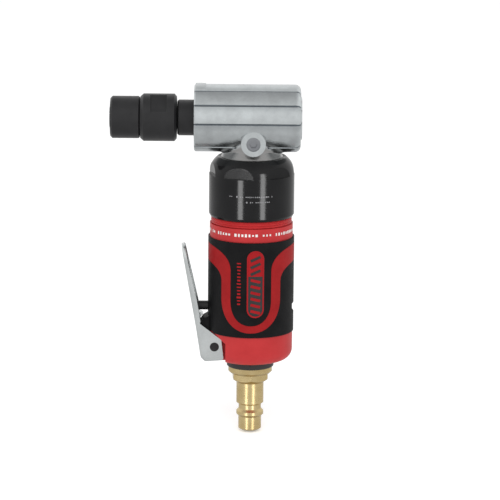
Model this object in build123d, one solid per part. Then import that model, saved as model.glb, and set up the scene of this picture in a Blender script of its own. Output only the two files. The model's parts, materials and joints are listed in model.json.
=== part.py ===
from build123d import *
import math
import os

# Compact right-angle air die grinder with a 6 mm collet. Millimetres, +Z up the body axis,
# origin at the tip of the air plug, spindle pointing to -X, front of the tool facing -Y.

# Air plug, a 7.2 mm nominal European quick-coupling plug with a G1/4 shank
PLUG_BORE_R = 2.9
PLUG_TIP_R = 5.05
PLUG_TIP_CHAMFER = 0.85
PLUG_COLLAR_R = 6.0
PLUG_NECK_R = 4.95
PLUG_BODY_R = 6.0
PLUG_HEX_AF = 15.0
PLUG_SHANK_R = 6.5
PLUG_HEX_LOW = 23.8
PLUG_HEX_TOP = 26.0
PLUG_TOP = 35.0

# Inlet bushing and the exhaust deflector that turns on it
BUSHING_FLANGE_R = 9.66
BUSHING_FLANGE_TOP = 29.1
BUSHING_SHANK_R = 7.6
BUSHING_TOP = 40.0
DEFLECTOR_R = 10.33
DEFLECTOR_BORE_R = 7.66
DEFLECTOR_LOW = 29.2
DEFLECTOR_TOP = 32.5
EXHAUST_PORT_R = 0.75

# Motor housing and rubber grip
HOUSING_LOW = 32.6
HOUSING_R = 18.4
HOUSING_CORNER_R = 5.0
GRIP_LOW = 45.8
GRIP_TOP = 87.8
GRIP_R = 18.85
GRIP_SEAT_R = 17.3
INLAY_SEAT_R = 17.9
BAND_R = 18.16
BAND_TOP = 93.8
THREAD_R = 17.7
THREAD_PITCH = 1.0
HOUSING_TOP = 110.0
MOTOR_BORE_R = 14.5
MOTOR_LOW = 64.0
FIT = 0.05

# Throttle lever and its pivot, turning about Y
PIVOT_X = -15.8
PIVOT_Z = 38.85
PIVOT_PIN_R = 2.0
LEVER_SHEET = 1.3
EAR_INNER_Y = 5.5
TONGUE_HALF_Y = 5.2
POCKET_X = -10.9

# Throttle valve, lying along X
VALVE_Z = 56.2
VALVE_PIN_R = 2.0
VALVE_PIN_TIP_X = -24.12
VALVE_STEM_R = 1.2
VALVE_CHAMBER_R = 4.65
SEAT_LEFT_X = -4.0
SEAT_RIGHT_X = -1.1
DISC_RIGHT_X = 1.0
SPRING_R = 2.6
SPRING_WIRE_R = 0.3
SPRING_TURNS = 6
VALVE_PLUG_LEFT_X = 12.0
VALVE_PLUG_RIGHT_X = 16.6

# Vane motor
PLATE_R = MOTOR_BORE_R - FIT
REAR_PLATE_TOP = 70.0
LINER_TOP = 94.0
FRONT_PLATE_TOP = 99.0
LINER_BORE_R = 11.5
LINER_OFFSET = 1.2
ROTOR_R = 10.0
JOURNAL_R = 4.0
VANES = 4
VANE_SLOT = 1.6
VANE_SLOT_BOTTOM_R = 4.9

# Angle head: horizontal barrel over a vertical neck
HEAD_Z = 139.7
BARREL_R = 14.7
BARREL_LEFT = -25.2
BARREL_RIGHT = 21.1
NECK_R = 11.7
NECK_FLARE_R = 13.55
NECK_BORE_R = 8.2
NECK_BLEND_R = 3.0
FLANGE_LOW = 110.2
FLANGE_R = 16.9
SPIGOT_LOW = 100.6
GEAR_BORE_R = 11.0
CAP_R = 9.7
BOSS_R = 5.4
BOSS_X = 0.6
BOSS_Z = 130.3
BOSS_FACE_Y = -14.3
GREASE_SCREW_R = 2.95

# Clamp nut
NUT_R = 18.65
NUT_LOW = 96.9
NUT_SHOULDER_Z = 115.7
NUT_SHOULDER_R = 9.0
NUT_HOLE_R = 13.65
NUT_RIM_R = 15.0
NUT_FLATS = 6
NUT_FLAT_DISTANCE = 17.4
NUT_FLAT_TURN = 19.0

# Bevel gears, both cones with their apex on the crossing of the two axes
MODULE = 0.8
PINION_TEETH = 16
GEAR_TEETH = 20
TOE_SHARE = 0.69
TOOTH_SHARE = 0.4

# Spindle, collet and nose
SPINDLE_R = 4.0
SPINDLE_NOSE_R = 5.0
CHUCK_R = 10.35
CHUCK_RIGHT = -32.8
CHUCK_LEFT = -48.6
NOSE_NECK_R = 7.8
NOSE_NECK_LEFT = -32.5
NOSE_THREAD_R = 6.6
COLLET_R = 5.2
COLLET_BORE_R = 3.0
COLLET_TIP_X = -62.0
COLLET_NUT_R = 9.2
COLLET_NUT_LEFT = -61.6
COLLET_NUT_RIGHT = -48.85

nodes = {}


def lathe_z(points):
    """Turned solid about the body axis from (radius, height) points."""
    outline = make_face(Polyline([(r, 0, z) for r, z in points], close=True))
    return revolve(outline, Axis.Z)


def lathe_x(points):
    """Turned solid about the spindle axis from (x, radius) points."""
    outline = make_face(Polyline([(x, 0, HEAD_Z + r) for x, r in points], close=True))
    return revolve(outline, Axis((0, 0, HEAD_Z), (1, 0, 0)))


def rod_z(radius, low, high, x=0.0, y=0.0):
    """Upright cylinder."""
    return Pos(x, y, (low + high) / 2) * Cylinder(radius, high - low)


def rod_x(radius, left, right, z=HEAD_Z, y=0.0):
    """Cylinder along X."""
    return Pos((left + right) / 2, y, z) * Rot(0, 90, 0) * Cylinder(radius, right - left)


def rod_y(radius, front, back, x=0.0, z=0.0):
    """Cylinder along Y."""
    return Pos(x, (front + back) / 2, z) * Rot(90, 0, 0) * Cylinder(radius, back - front)


def tube_z(outer, inner, low, high):
    """Upright tube."""
    return rod_z(outer, low, high) - rod_z(inner, low - 1, high + 1)


def tube_x(outer, inner, left, right, z=HEAD_Z):
    """Tube along X."""
    return rod_x(outer, left, right, z) - rod_x(inner, left - 1, right + 1, z)


def block(x0, x1, y0, y1, z0, z1):
    """Box between two corners."""
    return Pos((x0 + x1) / 2, (y0 + y1) / 2, (z0 + z1) / 2) * Box(x1 - x0, y1 - y0, z1 - z0)


def side_plate(points, half_y):
    """Plate standing in the XZ plane from (x, z) points, centred on Y = 0."""
    outline = make_face(Polyline([(x, 0, z) for x, z in points], close=True))
    return extrude(outline, half_y, dir=(0, 1, 0), both=True)


def hexagon_z(across_flats, low, high, turn=0.0):
    """Upright hexagonal bar."""
    section = Rot(0, 0, turn) * RegularPolygon(across_flats / 2, 6, major_radius=False)
    return Pos(0, 0, low) * extrude(section, high - low)


def bearing(outer_r, inner_r, width, ball_r, balls):
    """Deep-groove bearing about Z at the origin, as outer ring, inner ring and caged balls."""
    pitch_r = (outer_r + inner_r) / 2
    groove = Torus(pitch_r, ball_r + 0.04)
    land = 0.6 * ball_r
    outer = tube_z(outer_r - 0.01, pitch_r + land, -width / 2, width / 2) - groove
    inner = tube_z(pitch_r - land, inner_r + 0.01, -width / 2, width / 2) - groove
    cage = tube_z(pitch_r + 0.25, pitch_r - 0.25, -width / 2 + 0.6, width / 2 - 0.6)
    for place in PolarLocations(pitch_r, balls):
        cage += place * Sphere(ball_r)
    return outer, inner, cage


def add_bearing(name, place, outer_r, inner_r, width, ball_r, balls):
    """Put a bearing's three pieces at a place."""
    outer, inner, cage = bearing(outer_r, inner_r, width, ball_r, balls)
    nodes[name + "_bearing_outer"] = place * outer
    nodes[name + "_bearing_inner"] = place * inner
    nodes[name + "_bearing_cage"] = place * cage


def bevel_wheel(teeth, mate_teeth, turn):
    """Straight bevel wheel, apex at the origin, big end facing -Z; teeth on a root cone."""
    pitch_r = MODULE * teeth / 2
    depth = MODULE * mate_teeth / 2
    cone = math.hypot(pitch_r, depth)
    half_angle = math.atan2(pitch_r, depth)
    tip_r = depth * math.tan(half_angle + math.atan2(0.9 * MODULE, cone))
    root_r = depth * math.tan(half_angle - math.atan2(1.15 * MODULE, cone))
    half_pitch = TOOTH_SHARE * math.pi * MODULE / 2
    slope = math.tan(math.radians(20))
    half_tip = half_pitch - 0.9 * MODULE * slope
    half_root = half_pitch + 1.15 * MODULE * slope
    toe = TOE_SHARE
    blank = Pos(0, 0, -depth) * revolve(
        make_face(
            Polyline(
                [
                    (0, 0, 0),
                    (root_r, 0, 0),
                    (root_r * toe, 0, depth * (1 - toe)),
                    (0, 0, depth * (1 - toe)),
                ],
                close=True,
            )
        ),
        Axis.Z,
    )
    section = [
        (0.9 * root_r, -half_root),
        (root_r, -half_root),
        (tip_r, -half_tip),
        (tip_r, half_tip),
        (root_r, half_root),
        (0.9 * root_r, half_root),
    ]
    heel = make_face(Polyline([(x, y, -depth) for x, y in section], close=True))
    toe_points = [(x * toe, y * toe, -depth * toe) for x, y in section]
    tooth = loft([heel, make_face(Polyline(toe_points, close=True))], ruled=True)
    wheel = blank
    for index in range(teeth):
        wheel += Rot(0, 0, turn + 360 * index / teeth) * tooth
    return wheel


# ---------------------------------------------------------------- air inlet
plug = lathe_z(
    [
        (PLUG_BORE_R, 0),
        (PLUG_TIP_R - 1.3, 0),
        (PLUG_TIP_R, PLUG_TIP_CHAMFER),
        (PLUG_TIP_R, 6.35),
        (PLUG_COLLAR_R, 7.33),
        (PLUG_COLLAR_R, 8.67),
        (PLUG_NECK_R, 9.83),
        (PLUG_NECK_R, 11.86),
        (PLUG_BODY_R, 12.6),
        (PLUG_BODY_R, 21.8),
        (8.7, PLUG_HEX_LOW),
        (8.7, PLUG_HEX_TOP),
        (PLUG_SHANK_R, PLUG_HEX_TOP),
        (PLUG_SHANK_R, PLUG_TOP),
        (PLUG_BORE_R, PLUG_TOP),
    ]
)
plug &= hexagon_z(PLUG_HEX_AF, -1, PLUG_TOP + 1, 34)
nodes["air_plug"] = plug

nodes["inlet_bushing"] = lathe_z(
    [
        (PLUG_SHANK_R + FIT, PLUG_HEX_TOP),
        (8.6, PLUG_HEX_TOP),
        (BUSHING_FLANGE_R, 27.0),
        (BUSHING_FLANGE_R, BUSHING_FLANGE_TOP),
        (BUSHING_SHANK_R, BUSHING_FLANGE_TOP),
        (BUSHING_SHANK_R, BUSHING_TOP),
        (4.2, BUSHING_TOP),
        (4.2, 37.5),
        (PLUG_SHANK_R + FIT, 37.5),
    ]
)

strainer = rod_z(PLUG_SHANK_R, 35.1, 37.4)
for ring_r, count in ((2.0, 6), (4.2, 12)):
    for place in PolarLocations(ring_r, count):
        strainer -= place * rod_z(0.6, 34, 38)
nodes["inlet_strainer"] = strainer

# Ring with a plenum inside and ports on one side; a V groove on the front marks its setting
deflector = lathe_z(
    [
        (DEFLECTOR_BORE_R, DEFLECTOR_LOW),
        (DEFLECTOR_R - 0.35, DEFLECTOR_LOW),
        (DEFLECTOR_R, DEFLECTOR_LOW + 0.35),
        (DEFLECTOR_R, DEFLECTOR_TOP),
        (9.5, DEFLECTOR_TOP),
        (9.5, DEFLECTOR_LOW + 1.1),
        (DEFLECTOR_BORE_R, DEFLECTOR_LOW + 1.1),
    ]
)
for angle in (-50, -25, 0, 25, 50):
    deflector -= Rot(0, 0, 90 + angle) * rod_x(EXHAUST_PORT_R, 8.5, 12, DEFLECTOR_LOW + 2.1)
groove = side_plate([(-0.9, 33.0), (0.9, 33.0), (0, 30.9)], 0.5)
nodes["exhaust_deflector"] = deflector - Pos(0, -DEFLECTOR_R, 0) * groove

# ---------------------------------------------------------------- housing
thread_start = BAND_TOP
turns = int((HOUSING_TOP - thread_start) / THREAD_PITCH)
housing_points = [
    (0, HOUSING_LOW),
    (HOUSING_R, HOUSING_LOW),
    (HOUSING_R, GRIP_LOW),
    (GRIP_SEAT_R, GRIP_LOW),
    (GRIP_SEAT_R, GRIP_TOP),
    (BAND_R, GRIP_TOP),
    (BAND_R, BAND_TOP),
]
for turn in range(turns):
    low = thread_start + turn * THREAD_PITCH
    housing_points += [(THREAD_R - 0.45, low), (THREAD_R, low + 0.45 * THREAD_PITCH)]
housing_points += [
    (THREAD_R - 0.45, HOUSING_TOP),
    (MOTOR_BORE_R, HOUSING_TOP),
    (MOTOR_BORE_R, MOTOR_LOW),
    (0, MOTOR_LOW),
]
housing = lathe_z(housing_points)
foot = housing.edges().filter_by(GeomType.CIRCLE).group_by(Axis.Z)[0]
housing = fillet(foot, HOUSING_CORNER_R)

# Lug that carries the lever pin, and the pocket either side of it for the lever's ears
lug_points = [
    (-15.0, HOUSING_LOW + 0.6),
    (-18.6, HOUSING_LOW + 0.6),
    (-19.9, 34.6),
    (-20.3, 40.0),
    (-20.9, GRIP_LOW),
    (-15.0, GRIP_LOW),
]
housing += side_plate(lug_points, TONGUE_HALF_Y)
pocket_points = [(POCKET_X, 30), (POCKET_X, 42.1), (-26, 53.2), (-26, 30)]
pocket = side_plate(pocket_points, 20)
pocket -= side_plate([(-30, 28), (-8, 28), (-8, 56), (-30, 56)], TONGUE_HALF_Y)
housing -= pocket
housing -= rod_y(PIVOT_PIN_R + 0.02, -8, 8, PIVOT_X, PIVOT_Z)

# Inlet bore, exhaust drillings and the two passages that lead past the throttle valve
housing -= rod_z(BUSHING_SHANK_R + FIT, HOUSING_LOW - 1, BUSHING_TOP)
housing -= rod_z(5.4, BUSHING_TOP - 1, 47.0)
housing -= rod_z(2.2, 46.0, VALVE_Z, x=3.0)
housing -= rod_z(2.2, VALVE_Z, MOTOR_LOW + 1, x=-6.6)
for place in PolarLocations(8.75, 4, start_angle=45):
    housing -= place * rod_z(0.85, HOUSING_LOW - 1, MOTOR_LOW + 1)
housing -= rod_x(VALVE_PIN_R + 0.05, -20, -8, VALVE_Z)
housing -= rod_x(3.0, -9, SEAT_LEFT_X + 1, VALVE_Z)
housing -= rod_x(VALVE_CHAMBER_R, SEAT_LEFT_X, 20, VALVE_Z)
nodes["housing"] = housing

# ---------------------------------------------------------------- grip
right_half = [
    Bezier((0, 0, 47.9), (8.2, 0, 47.9), (12.8, 0, 54.0), (12.8, 0, 63.0)),
    Line((12.8, 0, 63.0), (12.8, 0, 70.0)),
    Bezier((12.8, 0, 70.0), (12.8, 0, 75.0), (16.2, 0, 76.8), (20.0, 0, 78.2)),
    Line((20.0, 0, 78.2), (20.0, 0, 85.6)),
    Bezier((20.0, 0, 85.6), (13.6, 0, 84.6), (8.8, 0, 81.0), (8.8, 0, 75.0)),
    Line((8.8, 0, 75.0), (8.8, 0, 62.0)),
    Bezier((8.8, 0, 62.0), (8.8, 0, 55.4), (5.6, 0, 51.1), (0, 0, 51.1)),
    Line((0, 0, 51.1), (0, 0, 47.9)),
]
half_stripe = extrude(make_face(right_half), 20, dir=(0, 1, 0), both=True)
stripe = half_stripe + mirror(half_stripe, Plane.YZ)

sleeve = tube_z(GRIP_R, GRIP_SEAT_R + FIT, GRIP_LOW, GRIP_TOP)
sleeve_lug = side_plate(
    [(-17.6, GRIP_LOW), (-21.3, GRIP_LOW), (-21.9, 49.6), (-20.9, 51.0), (-17.6, 52.9)],
    TONGUE_HALF_Y,
)
sleeve += sleeve_lug - rod_z(GRIP_SEAT_R + FIT, 40, 60)
sleeve -= pocket
sleeve -= rod_x(VALVE_PIN_R + 0.4, -22, -15, VALVE_Z)
sleeve -= block(15, 22, -5.2, 5.2, VALVE_Z - 2.2, VALVE_Z + 2.2)
inlay = tube_z(GRIP_R + 0.02, INLAY_SEAT_R, 46, 88) & stripe
sleeve -= tube_z(GRIP_R + 1, INLAY_SEAT_R, 46, 88) & stripe

pill = Pos(2.0, 0, 69.7) * Rot(90, 0, 0) * extrude(SlotOverall(29.8, 7.6, rotation=90), 25)
badge = tube_z(GRIP_R + 0.12, INLAY_SEAT_R + 0.3, 50, 88) & pill
sleeve -= tube_z(GRIP_R + 1, INLAY_SEAT_R + 0.3, 50, 88) & pill
nodes["grip_sleeve"] = sleeve
nodes["grip_inlay"] = inlay
nodes["badge"] = badge

# ---------------------------------------------------------------- throttle lever
lever_outer = [(-20.1, 32.3), (-21.9, 34.0), (-24.1, 48.0), (-30.54, 84.0)]
lever_inner = [(-29.26, 84.23), (-22.82, 48.23), (-20.6, 34.5), (-19.4, 33.4)]
lever = side_plate(lever_outer + lever_inner, EAR_INNER_Y + LEVER_SHEET)
between_ears = side_plate([(-32, 28), (-8, 28), (-8, 90), (-32, 90)], EAR_INNER_Y)
flange_points = [
    (-30.1, 82.0),
    (-24.3, 49.4),
    (-22.4, 49.4),
    (-21.9, 51.0),
    (-23.2, 58.0),
    (-28.65, 82.0),
]
lever += side_plate(flange_points, EAR_INNER_Y + LEVER_SHEET) - between_ears
ear_points = [
    (-19.9, 32.5),
    (-12.2, 32.9),
    (-11.6, 33.6),
    (-12.6, 42.1),
    (-21.2, 48.5),
    (-23.6, 48.2),
    (-21.4, 34.2),
]
lever += side_plate(ear_points, EAR_INNER_Y + LEVER_SHEET) - between_ears
lever += side_plate([(-24.2, 51.9), (-21.6, 51.9), (-20.9, 52.6), (-21.6, 53.5), (-24.4, 53.5)], 2.4)
lever -= rod_y(PIVOT_PIN_R + 0.06, -10, 10, PIVOT_X, PIVOT_Z)
tip_window = block(-40, -10, -6.8, 6.8, 30, 78) + Pos(0, 0, 77.6) * Rot(0, 90, 0) * Cylinder(6.8, 100)
nodes["throttle_lever"] = lever & tip_window
nodes["lever_pin"] = rod_y(PIVOT_PIN_R, -EAR_INNER_Y - 1.4, EAR_INNER_Y + 1.4, PIVOT_X, PIVOT_Z)

# ---------------------------------------------------------------- throttle valve
dome = Pos(VALVE_PIN_TIP_X + 4.0, 0, VALVE_Z) * Sphere(4.0)
stem = rod_x(VALVE_PIN_R, VALVE_PIN_TIP_X, -9.6, VALVE_Z) & (dome + rod_x(9, -21, 0, VALVE_Z))
stem += rod_x(VALVE_STEM_R, -10, 3.4, VALVE_Z)
stem += rod_x(3.7, 0.0, DISC_RIGHT_X, VALVE_Z)
nodes["valve_stem"] = stem
nodes["valve_seal"] = tube_x(3.7, VALVE_STEM_R + 0.03, SEAT_RIGHT_X + 0.05, -0.02, VALVE_Z)
nodes["valve_seat"] = tube_x(VALVE_CHAMBER_R - 0.02, 2.6, SEAT_LEFT_X + 0.02, SEAT_RIGHT_X, VALVE_Z)
spring_length = VALVE_PLUG_LEFT_X - DISC_RIGHT_X - 2 * SPRING_WIRE_R - 0.1
helix = Helix(spring_length / SPRING_TURNS, spring_length, SPRING_R)
wire = sweep(Plane(origin=helix @ 0, z_dir=helix % 0) * Circle(SPRING_WIRE_R), path=helix)
spring_place = Pos(DISC_RIGHT_X + SPRING_WIRE_R + 0.05, 0, VALVE_Z) * Rot(0, 90, 0)
nodes["valve_spring"] = spring_place * wire
plug_body = rod_x(VALVE_CHAMBER_R - 0.03, VALVE_PLUG_LEFT_X, VALVE_PLUG_RIGHT_X, VALVE_Z)
plug_body -= tube_x(6, 3.8, 13.0, 14.4, VALVE_Z)
plug_body -= block(15.4, 18, -5, 5, VALVE_Z - 0.5, VALVE_Z + 0.5)
nodes["valve_plug"] = plug_body
nodes["valve_plug_o_ring"] = tube_x(VALVE_CHAMBER_R - 0.03, 3.82, 13.1, 14.3, VALVE_Z)

# ---------------------------------------------------------------- vane motor
bearing_seat_r = 8.0
rear_plate = rod_z(PLATE_R, MOTOR_LOW, REAR_PLATE_TOP) - rod_z(bearing_seat_r, 66, 71)
rear_plate -= block(-12.2, -5.0, -1.6, 1.6, MOTOR_LOW - 1, MOTOR_LOW + 1.2)
rear_plate -= rod_z(1.2, 63, 71, x=-11.0)
for place in PolarLocations(8.75, 4, start_angle=45):
    rear_plate -= place * rod_z(0.85, 63, 65.2)
    rear_plate -= place * Pos(2.2, 0, 0) * rod_z(0.85, 63, 71)
dowel_y = 13.0
rear_plate -= rod_z(0.8, 67, 71, y=dowel_y)
nodes["rear_plate"] = rear_plate

liner = rod_z(PLATE_R, REAR_PLATE_TOP, LINER_TOP)
liner -= rod_z(LINER_BORE_R, 69, 95, x=-LINER_OFFSET)
liner -= rod_z(0.8, 69, 95, y=dowel_y)
for level in (76, 82, 88):
    liner -= rod_x(1.2, 9, 16, level)
nodes["cylinder_liner"] = liner

rotor = rod_z(ROTOR_R, REAR_PLATE_TOP + 0.15, LINER_TOP - 0.15)
for index in range(VANES):
    slot = block(VANE_SLOT_BOTTOM_R, 12, -VANE_SLOT / 2, VANE_SLOT / 2, 69, 95)
    rotor -= Rot(0, 0, 90 * index + 45) * slot
rotor += rod_z(JOURNAL_R, 66.0, FRONT_PLATE_TOP)
rotor += hexagon_z(5.0, FRONT_PLATE_TOP, 106.0)
nodes["rotor"] = rotor

vanes = None
for index in range(VANES):
    blade = block(VANE_SLOT_BOTTOM_R + 0.1, ROTOR_R - 0.05, -0.75, 0.75, 70.3, 93.7)
    blade = Rot(0, 0, 90 * index + 45) * blade
    vanes = blade if vanes is None else vanes + blade
nodes["vanes"] = vanes

front_plate = rod_z(PLATE_R, LINER_TOP, FRONT_PLATE_TOP) - rod_z(bearing_seat_r, 95, 100)
front_plate -= rod_z(5.0, 93, 96)
front_plate -= rod_z(0.8, 93, 97, y=dowel_y)
nodes["front_plate"] = front_plate
nodes["motor_dowel"] = rod_z(0.75, 67.2, 96.8, y=dowel_y)

add_bearing("rotor_rear", Pos(0, 0, 68), bearing_seat_r, JOURNAL_R, 4.0, 1.15, 9)
add_bearing("rotor_front", Pos(0, 0, 97), bearing_seat_r, JOURNAL_R, 4.0, 1.15, 9)

wave_washer = tube_z(14.2, 11.4, FRONT_PLATE_TOP + 0.1, FRONT_PLATE_TOP + 0.6)
for place in PolarLocations(12.8, 3):
    wave_washer += place * rod_z(0.9, FRONT_PLATE_TOP + 0.1, SPIGOT_LOW - 0.1)
nodes["preload_washer"] = wave_washer

# ---------------------------------------------------------------- pinion shaft
pinion_seat_r = 9.5
pinion = lathe_z(
    [
        (0, 100.2),
        (3.9, 100.2),
        (JOURNAL_R, 100.4),
        (JOURNAL_R, 117.1),
        (5.6, 117.1),
        (5.6, 124.0),
        (4.9, 125.5),
        (4.9, 131.75),
        (0, 131.75),
    ]
)
pinion += Pos(0, 0, HEAD_Z) * bevel_wheel(PINION_TEETH, GEAR_TEETH, 0)
pinion -= hexagon_z(5.1, 99, 107)
nodes["pinion_shaft"] = pinion
add_bearing("pinion", Pos(0, 0, 114.5), pinion_seat_r, JOURNAL_R, 5.0, 1.5, 9)
circlip = tube_z(pinion_seat_r + 0.6, 8.0, 110.8, 111.9) - block(-2.2, 2.2, 0, 12, 110, 113)
nodes["pinion_circlip"] = circlip

# ---------------------------------------------------------------- angle head
barrel = rod_x(BARREL_R, BARREL_LEFT, BARREL_RIGHT)
barrel = fillet(barrel.edges().group_by(Axis.X)[-1], 2.6)
barrel = chamfer(barrel.edges().group_by(Axis.X)[0], 0.6)
head = barrel + rod_z(NECK_R, 118, HEAD_Z)
blend = [
    edge
    for edge in head.edges()
    if edge.geom_type not in (GeomType.CIRCLE, GeomType.LINE) and edge.center().Z < HEAD_Z
]
head = fillet(blend, NECK_BLEND_R)
head += lathe_z(
    [
        (0, SPIGOT_LOW),
        (PLATE_R, SPIGOT_LOW),
        (PLATE_R, FLANGE_LOW),
        (FLANGE_R, FLANGE_LOW),
        (FLANGE_R, 116.9),
        (NECK_FLARE_R - 0.1, 116.9),
        (NECK_FLARE_R - 0.1, 123.2),
        (NECK_R - 0.1, 126.2),
        (0, 126.2),
    ]
)
head += rod_y(BOSS_R, BOSS_FACE_Y, -9, BOSS_X, BOSS_Z)
groove_angles = (61, 30, -3, -51)
for angle in groove_angles:
    for side in (angle, 180 - angle):
        flute = rod_x(0.5, BARREL_LEFT - 1, BARREL_RIGHT - 1, 0, 0)
        turned = Rot(-side, 0, 0) * Pos(0, -BARREL_R - 0.1, 0) * flute
        head -= Pos(0, 0, HEAD_Z) * turned
top_pad = block(-24.6, -20.2, -6.6, 6.6, HEAD_Z + 10, HEAD_Z + 16)
head += tube_x(BARREL_R + 0.4, BARREL_R - 1, -24.6, -20.2) & top_pad
head -= rod_x(GEAR_BORE_R, BARREL_LEFT - 1, 12.0)
head -= rod_x(CAP_R + FIT, 11.0, BARREL_RIGHT + 1)
head -= rod_z(NECK_BORE_R, 116, HEAD_Z)
head -= rod_z(pinion_seat_r, SPIGOT_LOW - 1, 117)
head -= rod_z(pinion_seat_r + 0.65, 110.75, 111.95)
head -= tube_z(PLATE_R + 1, 13.4, 103.9, 105.7)
head -= rod_y(GREASE_SCREW_R + FIT, BOSS_FACE_Y - 1, -6, BOSS_X, BOSS_Z)
nodes["head_housing"] = head

# The clamp nut pulls the head's flange against the top of the motor housing
shoulder_top = NUT_SHOULDER_Z + math.sqrt(
    NUT_SHOULDER_R**2 - (NUT_RIM_R - NUT_R + NUT_SHOULDER_R) ** 2
)
shoulder_mid = math.radians(32)
arc_centre = NUT_R - NUT_SHOULDER_R
arc_point = (
    arc_centre + NUT_SHOULDER_R * math.cos(shoulder_mid),
    0,
    NUT_SHOULDER_Z + NUT_SHOULDER_R * math.sin(shoulder_mid),
)
nut_corners = [
    (NUT_RIM_R, 0, shoulder_top),
    (NUT_HOLE_R, 0, shoulder_top - 0.9),
    (NUT_HOLE_R, 0, 117.0),
    (FLANGE_R + 0.1, 0, 117.0),
    (FLANGE_R + 0.1, 0, HOUSING_TOP),
    (THREAD_R + 0.1, 0, HOUSING_TOP),
    (THREAD_R + 0.1, 0, NUT_LOW),
    (18.0, 0, NUT_LOW),
    (NUT_R, 0, 98.05),
    (NUT_R, 0, NUT_SHOULDER_Z),
]
nut_outline = Polyline(nut_corners) + ThreePointArc(nut_corners[-1], arc_point, nut_corners[0])
nut = revolve(make_face(nut_outline.edges()), Axis.Z)
for index in range(NUT_FLATS):
    flat = block(-9, 9, -25, -NUT_FLAT_DISTANCE, 115.4, 126)
    nut -= Rot(0, 0, -NUT_FLAT_TURN + 60 * index) * flat
nodes["clamp_nut"] = nut
nodes["neck_seal"] = tube_z(PLATE_R - 0.02, 13.42, 104.0, 105.6)
grease_screw = rod_y(GREASE_SCREW_R, -13.6, -9.4, BOSS_X, BOSS_Z)
socket = Pos(BOSS_X, -12.4, BOSS_Z) * Rot(90, 0, 0)
grease_screw -= socket * extrude(RegularPolygon(1.5, 6, major_radius=False), 4)
nodes["grease_screw"] = grease_screw

# ---------------------------------------------------------------- spindle
spindle = lathe_x(
    [
        (17.3, 0),
        (17.3, SPINDLE_R),
        (-22.2, SPINDLE_R),
        (-22.2, SPINDLE_NOSE_R),
        (CHUCK_RIGHT, SPINDLE_NOSE_R),
        (CHUCK_RIGHT, 9.2),
        (CHUCK_RIGHT - 1.0, CHUCK_R),
        (CHUCK_LEFT + 1.4, CHUCK_R),
        (CHUCK_LEFT, 9.1),
        (CHUCK_LEFT, NOSE_THREAD_R),
        (-57.5, NOSE_THREAD_R),
        (-57.5, 5.6),
        (-44.5, 4.15),
        (-38.0, 4.15),
        (-38.0, 0),
    ]
)
flat_turn = 40
for side in (flat_turn, flat_turn + 180):
    cutter = block(-44.3, -37.0, -9, 9, 9.15, 14)
    spindle -= Pos(0, 0, HEAD_Z) * Rot(side, 0, 0) * cutter
spindle -= block(7.0, 10.2, -1.0, 1.0, HEAD_Z + 2.6, HEAD_Z + 5)
nodes["spindle"] = spindle

gear = Rot(0, -90, 0) * bevel_wheel(GEAR_TEETH, PINION_TEETH, 180 / GEAR_TEETH)
gear = Pos(0, 0, HEAD_Z) * gear + rod_x(6.0, 6.35, 11.4)
gear -= rod_x(SPINDLE_R + 0.02, 3, 12)
gear -= block(3, 12, -1.0, 1.0, HEAD_Z + 2.6, HEAD_Z + 5.2)
nodes["bevel_gear"] = gear
nodes["gear_key"] = block(7.1, 10.1, -0.97, 0.97, HEAD_Z + 2.65, HEAD_Z + 5.1)

add_bearing(
    "spindle_front", Pos(-17.4, 0, HEAD_Z) * Rot(0, 90, 0), GEAR_BORE_R, SPINDLE_R, 7.0, 2.1, 8
)
add_bearing(
    "spindle_rear", Pos(14.4, 0, HEAD_Z) * Rot(0, 90, 0), CAP_R, SPINDLE_R, 5.0, 1.6, 8
)
nodes["bearing_spacer"] = tube_x(GEAR_BORE_R - 0.02, 9.6, -13.8, -10.5)
nodes["head_cap"] = lathe_x(
    [(17.6, 0), (17.6, CAP_R), (21.05, CAP_R), (21.6, CAP_R - 0.6), (21.6, 0)]
)
nodes["nose_retainer"] = lathe_x(
    [
        (-21.0, 7.4),
        (-21.0, GEAR_BORE_R - 0.02),
        (-25.3, GEAR_BORE_R - 0.02),
        (-25.3, NOSE_NECK_R),
        (NOSE_NECK_LEFT + 0.6, NOSE_NECK_R),
        (NOSE_NECK_LEFT, NOSE_NECK_R - 0.6),
        (NOSE_NECK_LEFT, 5.35),
        (-28.0, 5.35),
        (-28.0, 7.4),
    ]
)
nodes["spindle_seal"] = tube_x(7.38, SPINDLE_NOSE_R + 0.05, -27.9, -24.0)

# ---------------------------------------------------------------- collet and its nut
collet = lathe_x(
    [
        (-43.0, COLLET_BORE_R),
        (-43.0, 3.95),
        (-44.7, 4.05),
        (-57.2, 5.45),
        (-58.6, 5.45),
        (-60.2, COLLET_R - 0.4),
        (COLLET_TIP_X + 0.3, COLLET_R - 0.4),
        (COLLET_TIP_X, COLLET_R - 0.7),
        (COLLET_TIP_X, COLLET_BORE_R),
    ]
)
for index in range(3):
    slit = block(-66, -47.0, -0.35, 0.35, 0, 8)
    collet -= Pos(0, 0, HEAD_Z) * Rot(120 * index + 60, 0, 0) * slit
nodes["collet"] = collet

collet_nut = lathe_x(
    [
        (COLLET_NUT_RIGHT, NOSE_THREAD_R + 0.07),
        (COLLET_NUT_RIGHT, COLLET_NUT_R - 0.5),
        (COLLET_NUT_RIGHT - 0.5, COLLET_NUT_R),
        (COLLET_NUT_LEFT + 0.9, COLLET_NUT_R),
        (COLLET_NUT_LEFT, COLLET_NUT_R - 0.9),
        (COLLET_NUT_LEFT, 5.0),
        (-60.3, 5.0),
        (-58.7, 5.65),
        (-58.7, NOSE_THREAD_R + 0.07),
    ]
)
nodes["collet_nut"] = collet_nut

os.makedirs("parts", exist_ok=True)
for name, shape in nodes.items():
    export_step(shape, "parts/" + name + ".step")
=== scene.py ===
"""Looks of a compact right-angle air die grinder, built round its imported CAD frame."""

import json
import logging
import math
from dataclasses import dataclass
from enum import Enum
from typing import Sequence

import bmesh
import bpy
from mathutils import Matrix, Vector


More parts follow.
